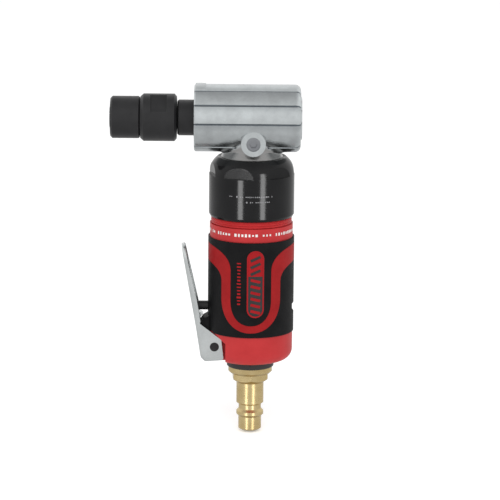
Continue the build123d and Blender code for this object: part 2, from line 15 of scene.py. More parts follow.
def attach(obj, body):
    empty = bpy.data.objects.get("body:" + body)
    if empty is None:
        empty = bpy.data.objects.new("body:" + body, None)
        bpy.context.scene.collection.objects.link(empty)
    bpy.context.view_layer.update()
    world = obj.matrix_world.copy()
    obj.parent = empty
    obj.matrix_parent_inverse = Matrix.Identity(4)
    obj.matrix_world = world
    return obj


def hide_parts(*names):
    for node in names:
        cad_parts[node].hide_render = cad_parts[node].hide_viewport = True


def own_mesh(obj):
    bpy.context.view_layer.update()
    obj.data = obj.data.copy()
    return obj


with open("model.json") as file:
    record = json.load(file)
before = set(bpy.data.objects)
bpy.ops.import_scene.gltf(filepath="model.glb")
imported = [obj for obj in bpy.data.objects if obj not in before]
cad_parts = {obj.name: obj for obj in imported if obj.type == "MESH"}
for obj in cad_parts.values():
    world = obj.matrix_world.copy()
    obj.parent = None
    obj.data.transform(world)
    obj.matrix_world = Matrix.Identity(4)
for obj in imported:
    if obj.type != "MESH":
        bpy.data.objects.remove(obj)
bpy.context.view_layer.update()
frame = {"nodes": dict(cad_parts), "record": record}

MM = 0.001
SEED = 7
LOG = logging.getLogger("air_die_grinder")

Point = tuple[float, float, float]
Flat = tuple[float, float]
Colour = tuple[float, float, float]
Socket = bpy.types.NodeSocket
Tree = bpy.types.NodeTree
Piece = bpy.types.Object
Number = float | Socket

# Heights and place, in metres, of the spindle's axis and of the boss under it
HEAD_Z = 0.1397
BOSS_X = 0.0006
BOSS_Z = 0.1303


# ---- finishes
class Maths:
    """Short way to write sums in a node tree."""

    def __init__(self, tree: Tree) -> None:
        """Keep the tree that the sums go in."""
        self.tree = tree

    def _feed(self, socket: Socket, value: Number) -> None:
        """Set a socket to a number or link it."""
        if isinstance(value, (int, float)):
            socket.default_value = value
        else:
            self.tree.links.new(value, socket)

    def do(self, operation: str, first: Number, second: Number = 0.0) -> Socket:
        """Add one sum.

        Args:
            operation: Name of the sum.
            first: First number.
            second: Second number, where the sum has one.

        Returns:
            The result's socket.
        """
        node = self.tree.nodes.new("ShaderNodeMath")
        node.operation = operation
        self._feed(node.inputs[0], first)
        self._feed(node.inputs[1], second)
        return node.outputs["Value"]

    def length(self, first: Number, second: Number) -> Socket:
        """Length of the vector of two numbers."""
        squares = (self.do("MULTIPLY", first, first), self.do("MULTIPLY", second, second))
        return self.do("SQRT", self.do("ADD", *squares))

    def split(self, place: Socket) -> tuple[Socket, ...]:
        """Split a vector into its three numbers."""
        node = self.tree.nodes.new("ShaderNodeSeparateXYZ")
        self.tree.links.new(place, node.inputs[0])
        return tuple(node.outputs)

    def ramp(self, value: Number, zero_at: float, one_at: float) -> Socket:
        """Go smoothly from 0 to 1 between two values.

        Args:
            value: Number that moves.
            zero_at: Value that gives 0.
            one_at: Value that gives 1.

        Returns:
            The result's socket.
        """
        node = self.tree.nodes.new("ShaderNodeMapRange")
        node.interpolation_type = "SMOOTHSTEP"
        self._feed(node.inputs["Value"], value)
        low, high = sorted((zero_at, one_at))
        node.inputs["From Min"].default_value = low
        node.inputs["From Max"].default_value = high
        node.inputs["To Min"].default_value = float(zero_at > one_at)
        node.inputs["To Max"].default_value = float(zero_at < one_at)
        return node.outputs["Result"]

    def blend(self, share: Number, colour: Socket, other: Colour) -> Socket:
        """Blend a colour towards another.

        Args:
            share: How much of the other colour, 0 to 1.
            colour: Colour socket at share 0.
            other: Colour at share 1.

        Returns:
            The blended colour's socket.
        """
        node = self.tree.nodes.new("ShaderNodeMix")
        node.data_type = "RGBA"
        self._feed(node.inputs["Factor"], share)
        self.tree.links.new(colour, node.inputs[6])
        node.inputs[7].default_value = (*other, 1.0)
        return node.outputs[2]


class Grain(Enum):
    """Fine surface texture that a way of making leaves behind."""

    BLASTED = "fine even pits"
    TURNED_Z = "rings about the upright axis"
    TURNED_X = "rings about the spindle axis"
    GROUND = "short scratches"
    MOULDED = "soft leather-like grain"
    SMOOTH = "no marked texture"


@dataclass(frozen=True)
class Finish:
    """One surface finish, as a procedural material.

    Args:
        name: Material name.
        colour: Main colour, linear.
        shade: Second colour that drifts through the main one.
        metallic: Share of metal response.
        roughness: Mean roughness.
        spread: How far roughness drifts either way.
        grain: Kind of fine texture.
        pitch: Size of the fine texture in millimetres.
        depth: Height of the fine texture in millimetres.
        drift: Size of the colour drift in millimetres.
        edge_radius: Rounding of sharp edges in millimetres.
        edge_colour: Colour that shows where edges are rubbed.
        edge_wear: Strength of the rubbed edges.
        specular: Specular level of a non-metal.
    """

    name: str
    colour: Colour
    shade: Colour
    metallic: float = 0.0
    roughness: float = 0.4
    spread: float = 0.06
    grain: Grain = Grain.SMOOTH
    pitch: float = 0.3
    depth: float = 0.01
    drift: float = 9.0
    edge_radius: float = 0.25
    edge_colour: Colour = (0.6, 0.6, 0.6)
    edge_wear: float = 0.0
    specular: float = 0.5

    def material(self) -> bpy.types.Material:
        """Return the finish's material, made once.

        Returns:
            The material with its node tree.
        """
        label = "finish_" + self.name
        found = bpy.data.materials.get(label)
        if found:
            return found
        made = bpy.data.materials.new(label)
        made.use_nodes = True
        made.diffuse_color = (*self.colour, 1.0)
        tree = made.node_tree
        tree.nodes.clear()
        output = tree.nodes.new("ShaderNodeOutputMaterial")
        shader = tree.nodes.new("ShaderNodeBsdfPrincipled")
        tree.links.new(shader.outputs["BSDF"], output.inputs["Surface"])
        shader.inputs["Metallic"].default_value = self.metallic
        shader.inputs["Specular IOR Level"].default_value = self.specular
        place = tree.nodes.new("ShaderNodeTexCoord").outputs["Object"]
        height = self._grain(tree, place)
        drift = self._noise(tree, place, self.drift, 3.0, 0.6)
        colour = self._tint(tree, place, self._mix(tree, drift, self.colour, self.shade))
        rounded = tree.nodes.new("ShaderNodeBevel")
        rounded.samples = 4
        rounded.inputs["Radius"].default_value = self.edge_radius * MM
        if self.edge_wear:
            worn = self._edge_mask(tree, rounded, place)
            colour = Maths(tree).blend(worn, colour, self.edge_colour)
        tree.links.new(colour, shader.inputs["Base Color"])
        level = tree.nodes.new("ShaderNodeMapRange")
        level.inputs["To Min"].default_value = self.roughness - self.spread
        level.inputs["To Max"].default_value = self.roughness + self.spread
        mottle = self._noise(tree, place, self.drift * 0.35, 4.0, 0.55)
        tree.links.new(mottle, level.inputs["Value"])
        tree.links.new(level.outputs["Result"], shader.inputs["Roughness"])
        bump = tree.nodes.new("ShaderNodeBump")
        bump.inputs["Distance"].default_value = self.depth * MM
        tree.links.new(height, bump.inputs["Height"])
        tree.links.new(rounded.outputs["Normal"], bump.inputs["Normal"])
        tree.links.new(bump.outputs["Normal"], shader.inputs["Normal"])
        return made

    def _tint(self, tree: Tree, place: Socket, colour: Socket) -> Socket:
        """Leave the colour alone; a finish with marked zones changes it here."""
        return colour

    @staticmethod
    def _noise(tree: Tree, place: Socket, size: float, detail: float, rough: float) -> Socket:
        """Add a noise whose blobs measure about size.

        Args:
            tree: Node tree to add to.
            place: Coordinate socket.
            size: Blob size in millimetres.
            detail: Octaves.
            rough: Strength of the fine octaves.

        Returns:
            The noise's factor socket.
        """
        noise = tree.nodes.new("ShaderNodeTexNoise")
        noise.inputs["Scale"].default_value = 1.0 / (size * MM)
        noise.inputs["Detail"].default_value = detail
        noise.inputs["Roughness"].default_value = rough
        tree.links.new(place, noise.inputs["Vector"])
        return noise.outputs["Fac"]

    def _grain(self, tree: Tree, place: Socket) -> Socket:
        """Add the fine texture as a height.

        Args:
            tree: Node tree to add to.
            place: Coordinate socket.

        Returns:
            The height socket.
        """
        stretch = {
            Grain.TURNED_Z: (0.02, 0.02, 1.0),
            Grain.TURNED_X: (1.0, 0.02, 0.02),
            Grain.GROUND: (1.0, 1.0, 0.08),
        }.get(self.grain)
        if stretch:
            mapping = tree.nodes.new("ShaderNodeMapping")
            mapping.inputs["Scale"].default_value = stretch
            tree.links.new(place, mapping.inputs["Vector"])
            place = mapping.outputs["Vector"]
        if self.grain is Grain.MOULDED:
            cells = tree.nodes.new("ShaderNodeTexVoronoi")
            cells.feature = "SMOOTH_F1"
            cells.inputs["Scale"].default_value = 1.0 / (self.pitch * MM)
            tree.links.new(place, cells.inputs["Vector"])
            return cells.outputs["Distance"]
        return self._noise(tree, place, self.pitch, 2.0, 0.5)

    @staticmethod
    def _mix(tree: Tree, factor: Socket, first: Colour, second: Colour) -> Socket:
        """Ramp between two colours.

        Args:
            tree: Node tree to add to.
            factor: Socket that chooses.
            first: Colour at the low end.
            second: Colour at the high end.

        Returns:
            The colour socket.
        """
        ramp = tree.nodes.new("ShaderNodeValToRGB")
        ramp.color_ramp.elements[0].position = 0.35
        ramp.color_ramp.elements[1].position = 0.7
        ramp.color_ramp.elements[0].color = (*first, 1.0)
        ramp.color_ramp.elements[1].color = (*second, 1.0)
        tree.links.new(factor, ramp.inputs["Fac"])
        return ramp.outputs["Color"]

    def _edge_mask(self, tree: Tree, rounded: bpy.types.Node, place: Socket) -> Socket:
        """Mask of the rubbed edges, where the rounded normal leaves the true one.

        Args:
            tree: Node tree to add to.
            rounded: Bevel node.
            place: Coordinate socket that breaks the mask up.

        Returns:
            The mask socket.
        """
        true_normal = tree.nodes.new("ShaderNodeNewGeometry").outputs["Normal"]
        dot = tree.nodes.new("ShaderNodeVectorMath")
        dot.operation = "DOT_PRODUCT"
        tree.links.new(rounded.outputs["Normal"], dot.inputs[0])
        tree.links.new(true_normal, dot.inputs[1])
        away = tree.nodes.new("ShaderNodeMapRange")
        away.inputs["From Min"].default_value = 0.995
        away.inputs["From Max"].default_value = 0.85
        away.inputs["To Max"].default_value = self.edge_wear
        tree.links.new(dot.outputs["Value"], away.inputs["Value"])
        patches = self._noise(tree, place, 2.5, 3.0, 0.6)
        return Maths(tree).do("MULTIPLY", away.outputs["Result"], patches)


@dataclass(frozen=True)
class HeadFinish(Finish):
    """Machined barrel with painted shade in its flutes, over a neck coloured darker below the
    barrel.

    Args:
        flutes: Angles of the flutes above the level through the axis, in degrees.
        flute_half: Half the width of a flute's painted shade line in degrees.
        core: Share of that painted shade line that is fully dark.
        fade: How far a fainter painted shade fades out below each line, in degrees.
        faint: Strength of that painted shade below the line.
        skin: Distances from the axis between which the painted shade lines end, in millimetres.
        neck: Distances from the axis between which the neck's colour starts.
        boss: Distances from the boss's centre between which the neck's colour starts.
        under_barrel_colour: Darker colour that the neck takes below the barrel.
        flute_shade_colour: Colour of the painted shade in the flutes.
    """

    # Painted shade: dark lines in the flute grooves, with a fainter painted shade below each
    flutes: tuple[float, ...] = (61.0, 30.0, -3.0, -51.0)
    flute_half: float = 1.9
    core: float = 0.35
    fade: float = 15.0
    faint: float = 0.3
    skin: Flat = (14.95, 14.8)
    neck: Flat = (14.8, 16.0)
    boss: Flat = (5.2, 5.5)
    # Darker colour on the neck below the barrel, away from the boss
    under_barrel_colour: Colour = (0.36, 0.355, 0.35)
    flute_shade_colour: Colour = (0.12, 0.14, 0.16)

    def _tint(self, tree: Tree, place: Socket, colour: Socket) -> Socket:
        """Paint shade into the flutes, and darken the neck below the barrel.

        Args:
            tree: Node tree to add to.
            place: Coordinate socket.
            colour: Colour socket to change.

        Returns:
            The changed colour socket.
        """
        maths = Maths(tree)
        x, y, z = maths.split(place)
        level = maths.do("SUBTRACT", z, HEAD_Z)
        side = maths.do("ABSOLUTE", y)
        angle = maths.do("ARCTAN2", level, side)
        reach = maths.length(side, level)
        on_barrel = maths.ramp(reach, *(edge * MM for edge in self.skin))
        # Each flute gets a painted shade line in its groove and a fainter painted shade fading
        # out below it
        for flute in self.flutes:
            middle = math.radians(flute)
            half = math.radians(self.flute_half)
            away = maths.do("ABSOLUTE", maths.do("SUBTRACT", angle, middle))
            line = maths.ramp(away, half, half * self.core)
            under = maths.ramp(angle, middle - math.radians(self.fade), middle)
            below = maths.do("LESS_THAN", angle, middle)
            faint = maths.do("MULTIPLY", maths.do("MULTIPLY", under, below), self.faint)
            strength = maths.do("MULTIPLY", maths.do("MAXIMUM", line, faint), on_barrel)
            colour = maths.blend(strength, colour, self.flute_shade_colour)
        # Neck below the barrel, outside the boss, is blended to a darker colour
        to_boss = maths.length(maths.do("SUBTRACT", x, BOSS_X), maths.do("SUBTRACT", z, BOSS_Z))
        off_boss = maths.ramp(to_boss, *(edge * MM for edge in self.boss))
        off_barrel = maths.ramp(reach, *(edge * MM for edge in self.neck))
        on_neck = maths.do("MULTIPLY", off_barrel, off_boss)
        return maths.blend(on_neck, colour, self.under_barrel_colour)


BRASS = Finish(
    "turned_brass", (0.72, 0.57, 0.30), (0.60, 0.45, 0.21), metallic=1.0, roughness=0.27,
    spread=0.07, grain=Grain.TURNED_Z, pitch=0.25, depth=0.014, edge_radius=0.15,
    edge_colour=(0.9, 0.78, 0.5), edge_wear=0.4,
)
RED_BODY = Finish(
    "red_body", (0.465, 0.026, 0.028), (0.415, 0.020, 0.022), roughness=0.42,
    spread=0.06, grain=Grain.BLASTED, pitch=0.35, depth=0.010, edge_radius=0.12, specular=0.25,
    edge_colour=(0.52, 0.06, 0.07), edge_wear=0.35,
)
BLACK_NUT = Finish(
    "black_anodised", (0.005, 0.005, 0.0055), (0.008, 0.008, 0.0085), roughness=0.13,
    spread=0.03, grain=Grain.TURNED_Z, pitch=0.15, depth=0.002, edge_radius=0.3, specular=0.24,
    edge_colour=(0.06, 0.06, 0.06), edge_wear=0.5,
)
BLACK_STEEL = Finish(
    "black_oxide", (0.010, 0.010, 0.011), (0.016, 0.016, 0.017), roughness=0.38,
    spread=0.08, grain=Grain.BLASTED, pitch=0.4, depth=0.010, edge_radius=0.3, specular=0.4,
    edge_colour=(0.09, 0.09, 0.09), edge_wear=0.5,
)
BLACK_PLASTIC = Finish(
    "black_moulding", (0.02, 0.02, 0.02), (0.028, 0.028, 0.028), roughness=0.5,
    grain=Grain.MOULDED, pitch=0.4, depth=0.01,
)
GRIP_RUBBER = Finish(
    "grip_rubber", (0.0055, 0.0055, 0.006), (0.009, 0.009, 0.0095), roughness=0.5, spread=0.08,
    grain=Grain.MOULDED, pitch=0.5, depth=0.06, edge_radius=0.3, specular=0.1,
)
INLAY_RUBBER = Finish(
    "inlay_rubber", (0.315, 0.012, 0.013), (0.26, 0.008, 0.010), roughness=0.5, spread=0.08,
    grain=Grain.MOULDED, pitch=0.5, depth=0.04, edge_radius=0.3, specular=0.1,
)
BADGE_RED = Finish(
    "badge_red", (0.33, 0.007, 0.010), (0.28, 0.005, 0.008), roughness=0.42,
    grain=Grain.BLASTED, pitch=0.3, depth=0.004, edge_radius=0.08, specular=0.15,
)
HEAD_ALLOY = HeadFinish(
    "blasted_alloy", (0.67, 0.71, 0.72), (0.56, 0.59, 0.60), metallic=1.0, roughness=0.24,
    spread=0.05, grain=Grain.BLASTED, pitch=0.35, depth=0.030, drift=7.0, edge_radius=0.35,
    edge_colour=(0.82, 0.85, 0.86), edge_wear=0.4,
)
LEVER_STEEL = Finish(
    "lever_steel", (0.74, 0.77, 0.77), (0.64, 0.67, 0.67), metallic=1.0, roughness=0.24,
    spread=0.05, grain=Grain.BLASTED, pitch=0.45, depth=0.030, edge_radius=0.3,
    edge_colour=(0.85, 0.87, 0.88), edge_wear=0.5,
)
BEARING_STEEL = Finish(
    "bearing_steel", (0.58, 0.59, 0.61), (0.5, 0.51, 0.53), metallic=1.0, roughness=0.2,
    grain=Grain.TURNED_Z, pitch=0.1, depth=0.002,
)
GROUND_IRON = Finish(
    "ground_iron", (0.22, 0.22, 0.23), (0.17, 0.17, 0.175), metallic=0.9, roughness=0.42,
    grain=Grain.GROUND, pitch=0.25, depth=0.006,
)
HARD_STEEL = Finish(
    "hardened_steel", (0.36, 0.37, 0.39), (0.28, 0.29, 0.31), metallic=1.0, roughness=0.32,
    grain=Grain.GROUND, pitch=0.2, depth=0.005,
)
VANE_RESIN = Finish(
    "vane_resin", (0.22, 0.12, 0.05), (0.16, 0.085, 0.035), roughness=0.6, grain=Grain.GROUND,
    pitch=0.3, depth=0.01,
)
SEAL_RUBBER = Finish(
    "seal_rubber", (0.012, 0.012, 0.012), (0.018, 0.018, 0.018), roughness=0.45,
    grain=Grain.SMOOTH, pitch=0.5, depth=0.004,
)
SPRING_STEEL = Finish(
    "spring_wire", (0.42, 0.43, 0.46), (0.35, 0.36, 0.38), metallic=1.0, roughness=0.28,
    grain=Grain.GROUND, pitch=0.2, depth=0.003,
)
WHITE_PRINT = Finish(
    "white_print", (0.78, 0.76, 0.74), (0.68, 0.66, 0.64), roughness=0.5, grain=Grain.BLASTED,
    pitch=0.3, depth=0.002,
)
GREY_PRINT = Finish(
    "grey_print", (0.30, 0.30, 0.31), (0.24, 0.24, 0.25), roughness=0.45, grain=Grain.BLASTED,
    pitch=0.3, depth=0.002,
)
BLACK_PRINT = Finish(
    "black_print", (0.015, 0.015, 0.016), (0.024, 0.024, 0.025), roughness=0.5,
    grain=Grain.BLASTED, pitch=0.3, depth=0.003,
)

SLOT_FINISH: dict[str, Finish] = {
    "brass": BRASS,
    "red_body": RED_BODY,
    "black_nut": BLACK_NUT,
    "black_steel": BLACK_STEEL,
    "black_plastic": BLACK_PLASTIC,
    "grip_rubber": GRIP_RUBBER,
    "inlay_rubber": INLAY_RUBBER,
    "badge_print": BADGE_RED,
    "lever_steel": LEVER_STEEL,
    "head_alloy": HEAD_ALLOY,
    "bearing_steel": BEARING_STEEL,
    "liner_iron": GROUND_IRON,
    "plate_iron": GROUND_IRON,
    "hard_steel": HARD_STEEL,
    "vane_resin": VANE_RESIN,
    "seal_rubber": SEAL_RUBBER,
    "spring_steel": SPRING_STEEL,
}


def dress(piece: Piece, finish: Finish) -> None:
    """Give a piece one finish.

    Args:
        piece: Mesh object.
        finish: Finish to put on every face.
    """
    material = finish.material()
    if piece.data.materials:
        for index in range(len(piece.data.materials)):
            piece.data.materials[index] = material
    else:
        piece.data.materials.append(material)


class CadDress:
    """Finishes of the CAD pieces that show as they are."""

    @staticmethod
    def build() -> None:
        """Put each CAD node in the finish of its record slot."""
        for part in frame["record"]["subparts"]:
            dress(frame["nodes"][part["node"]], SLOT_FINISH[part["material_slot"]])
        LOG.info("dressed %d CAD pieces", len(frame["nodes"]))


# ---- shapes
def stand(name: str, data: bpy.types.ID | None) -> Piece:
    """Put a new object with this data in the scene."""
    piece = bpy.data.objects.new(name, data)
    bpy.context.scene.collection.objects.link(piece)
    return piece


class Recipe:
    """A Geometry Nodes tree with named sizes, run once to give a plain mesh."""

    def __init__(self, name: str, sizes: dict[str, float | int]) -> None:
        """Start the tree.

        Args:
            name: Name of the tree and of the piece it makes.
            sizes: Named inputs with their values; whole numbers become integer inputs.
        """
        self.name = name
        self.sizes = sizes
        self.group = bpy.data.node_groups.new(name, "GeometryNodeTree")
        sockets = self.group.interface
        sockets.new_socket("Geometry", in_out="OUTPUT", socket_type="NodeSocketGeometry")
        self.identifiers: dict[str, str] = {}
        for label, value in sizes.items():
            kind = "NodeSocketInt" if isinstance(value, int) else "NodeSocketFloat"
            socket = sockets.new_socket(label, in_out="INPUT", socket_type=kind)
            self.identifiers[label] = socket.identifier
        self.entry = self.group.nodes.new("NodeGroupInput")
        self.maths = Maths(self.group)

    def size(self, label: str) -> Socket:
        """Socket of a named size."""
        return self.entry.outputs[label]

    def node(self, kind: str, **feeds: object) -> Socket:
        """Add a node and feed its inputs.

        Args:
            kind: Node type.
            feeds: Input name, with underscores for spaces, and a value or socket.

        Returns:
            The node's first output.
        """
        made = self.group.nodes.new(kind)
        for label, value in feeds.items():
            name = label.replace("_", " ")
            socket = next(s for s in made.inputs if s.name == name and s.enabled)
            if isinstance(value, Socket):
                self.group.links.new(value, socket)
            else:
                socket.default_value = value
        return made.outputs[0]

    def vector(self, x: Number, y: Number, z: Number) -> Socket:
        """Join three numbers."""
        return self.node("ShaderNodeCombineXYZ", X=x, Y=y, Z=z)

    def circle(self, steps: int, radius: Number) -> Socket:
        """Circle of a number of points about the origin."""
        kind = "GeometryNodeCurvePrimitiveCircle"
        return self.node(kind, Resolution=steps, Radius=radius)

    def chance(self, low: Number, high: Number, seed: int) -> Socket:
        """Random number for each point."""
        kind = "FunctionNodeRandomValue"
        return self.node(kind, Min=low, Max=high, Seed=seed).node.outputs[1]

    def make(self, geometry: Socket, finish: Finish) -> Piece:
        """Close the tree, run it and keep its result as a plain mesh.

        Args:
            geometry: Socket of the finished geometry.
            finish: Finish to put on it.

        Returns:
            The new piece.
        """
        real = self.node("GeometryNodeRealizeInstances", Geometry=geometry)
        dressed = self.node(
            "GeometryNodeSetMaterial", Geometry=real, Material=finish.material()
        )
        leave = self.group.nodes.new("NodeGroupOutput")
        self.group.links.new(dressed, leave.inputs[0])
        carrier = stand(self.name, bpy.data.meshes.new(self.name))
        recipe = carrier.modifiers.new("recipe", "NODES")
        recipe.node_group = self.group
        for label, identifier in self.identifiers.items():
            recipe[identifier] = self.sizes[label]
        evaluated = carrier.evaluated_get(bpy.context.evaluated_depsgraph_get())
        mesh = bpy.data.meshes.new_from_object(evaluated)
        bpy.data.objects.remove(carrier)
        return stand(self.name, mesh)


def smooth(piece: Piece, sharpest: float = 40.0) -> None:
    """Shade a piece smooth except over its sharp edges.

    Args:
        piece: Mesh object.
        sharpest: Angle in degrees above which an edge stays sharp.
    """
    shell = bmesh.new()
    shell.from_mesh(piece.data)
    limit = math.radians(sharpest)
    for face in shell.faces:
        face.smooth = True
    for edge in shell.edges:
        edge.smooth = edge.calc_face_angle(math.pi) < limit
    shell.to_mesh(piece.data)
    shell.free()


def loft(
    name: str, rings: Sequence[Sequence[Point]], finish: Finish, closed: bool = False
) -> Piece:
    """Join rings of points into one closed shell.

    Args:
        name: Name of the piece.
        rings: Rings with the same number of points each, in millimetres.
        finish: Finish to put on it.
        closed: Whether the last ring joins the first; the ends are capped otherwise.

    Returns:
        The new piece.
    """
    shell = bmesh.new()
    rows = [[shell.verts.new(Vector(point) * MM) for point in ring] for ring in rings]
    pairs = list(zip(rows, rows[1:]))
    if closed:
        pairs.append((rows[-1], rows[0]))
    else:
        shell.faces.new(rows[0])
        shell.faces.new(rows[-1])
    for one, other in pairs:
        for index in range(len(one)):
            after = (index + 1) % len(one)
            shell.faces.new((one[index], one[after], other[after], other[index]))
    bmesh.ops.recalc_face_normals(shell, faces=shell.faces)
    mesh = bpy.data.meshes.new(name)
    shell.to_mesh(mesh)
    shell.free()
    piece = stand(name, mesh)
    dress(piece, finish)
    return piece


def settle(piece: Piece, body: str) -> None:
    """Let a finished piece ride on a body.

    Args:
        piece: Finished piece.
        body: Body it moves with.
    """
    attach(piece, body)
    LOG.info("%s rides on %s", piece.name, body)


# ---- printed marks
@dataclass
class Marks:
    """Rows of small plates wrapped round the upright axis.

    Args:
        name: Name of the piece.
        finish: Finish of the marks.
        long: Length of a mark along the arc in millimetres.
        high: Height of a mark in millimetres.
        thick: Thickness of a mark, half of it sunk, in millimetres.
        radius: Radius of the surface in millimetres.
        along: Where the middle of the rows lies along the arc in millimetres.
        level: Height of the middle of the rows in millimetres.
        columns: Marks along the arc.
        rows: Marks up the height.
        pitch: Distance between columns in millimetres.
        rise: Distance between rows in millimetres.
        lean: Lean of a mark in degrees.
        uneven: Share by which lengths and heights differ.
        gaps: Share of the marks left out.
    """

    name: str
    finish: Finish
    long: float
    high: float
    thick: float
    radius: float
    along: float
    level: float
    columns: int = 1
    rows: int = 1
    pitch: float = 1.0
    rise: float = 1.0
    lean: float = 0.0
    uneven: float = 0.0
    gaps: float = 0.0

    def build(self) -> None:
        """Make the marks and let them ride on the tool."""
        recipe = Recipe(
            self.name,
            {
                "Columns": self.columns, "Rows": self.rows, "Pitch": self.pitch * MM,
                "Rise": self.rise * MM, "Length": self.long * MM, "Height": self.high * MM,
                "Thickness": self.thick * MM, "Lean": math.radians(self.lean),
                "Radius": self.radius * MM, "Along": self.along * MM,
                "Level": self.level * MM, "Uneven": self.uneven, "Gaps": self.gaps,
            },
        )
        piece = recipe.make(self._wrap(recipe, self._plates(recipe)), self.finish)
        settle(piece, "tool")

    @staticmethod
    def _plates(recipe: Recipe) -> Socket:
        """Lay the plates out flat.

        Args:
            recipe: Tree to add to.

        Returns:
            The plates' geometry socket.
        """
        maths, size = recipe.maths, recipe.size
        index = recipe.node("GeometryNodeInputIndex")
        column = maths.do("MODULO", index, size("Columns"))
        row = maths.do("FLOOR", maths.do("DIVIDE", index, size("Columns")))
        middle_column = maths.do("DIVIDE", maths.do("SUBTRACT", size("Columns"), 1.0), 2.0)
        middle_row = maths.do("DIVIDE", maths.do("SUBTRACT", size("Rows"), 1.0), 2.0)
        arc = maths.do("MULTIPLY", maths.do("SUBTRACT", column, middle_column), size("Pitch"))
        up = maths.do("MULTIPLY", maths.do("SUBTRACT", row, middle_row), size("Rise"))
        count = maths.do("MULTIPLY", size("Columns"), size("Rows"))
        spots = recipe.vector(arc, 0.0, up)
        points = recipe.node("GeometryNodePoints", Count=count, Position=spots)
        drawn = recipe.chance(0.0, 1.0, SEED)
        kept = recipe.node(
            "GeometryNodeDeleteGeometry", Geometry=points,
            Selection=maths.do("LESS_THAN", drawn, size("Gaps")),
        )
        plate = recipe.node(
            "GeometryNodeMeshCube", Vertices_X=7,
            Size=recipe.vector(size("Length"), size("Thickness"), size("Height")),
        )
        least = maths.do("SUBTRACT", 1.0, size("Uneven"))
        stretch = recipe.vector(
            recipe.chance(least, 1.0, SEED + 1), 1.0, recipe.chance(least, 1.0, SEED + 2)
        )
        return recipe.node(
            "GeometryNodeInstanceOnPoints", Points=kept, Instance=plate,
            Rotation=recipe.vector(0.0, size("Lean"), 0.0), Scale=stretch,
        )

    @staticmethod
    def _wrap(recipe: Recipe, plates: Socket) -> Socket:
        """Bend the flat plates round the axis.

        Args:
            recipe: Tree to add to.
            plates: Flat plates.

        Returns:
            The bent geometry socket.
        """
        maths, size = recipe.maths, recipe.size
        real = recipe.node("GeometryNodeRealizeInstances", Geometry=plates)
        place = recipe.node("GeometryNodeInputPosition")
        x, y, z = maths.split(place)
        turn = maths.do("DIVIDE", maths.do("ADD", x, size("Along")), size("Radius"))
        reach = maths.do("SUBTRACT", size("Radius"), y)
        bent = recipe.vector(
            maths.do("MULTIPLY", reach, maths.do("SINE", turn)),
            maths.do("MULTIPLY", maths.do("MULTIPLY", reach, maths.do("COSINE", turn)), -1.0),
            maths.do("ADD", z, size("Level")),
        )
        return recipe.node("GeometryNodeSetPosition", Geometry=real, Position=bent)


PRINT = (
    Marks(
        "band_dashes", WHITE_PRINT, long=1.15, high=1.5, thick=0.12, radius=18.17,
        along=0.0, level=91.1, columns=74, pitch=1.55, uneven=0.5, gaps=0.14,
    ),
    Marks(
        "nut_marks_upper", GREY_PRINT, long=0.6, high=0.75, thick=0.08, radius=18.66,
        along=-0.3, level=108.1, columns=24, pitch=0.82, uneven=0.5, gaps=0.15,
    ),
    Marks(
        "nut_marks_lower", GREY_PRINT, long=0.6, high=0.7, thick=0.08, radius=18.66,
        along=1.2, level=105.8, columns=17, pitch=0.82, uneven=0.5, gaps=0.15,
    ),
    Marks(
        "side_print", BADGE_RED, long=1.9, high=0.85, thick=0.1, radius=18.86,
        along=-5.3, level=69.8, rows=13, rise=1.5, uneven=0.4,
    ),
)


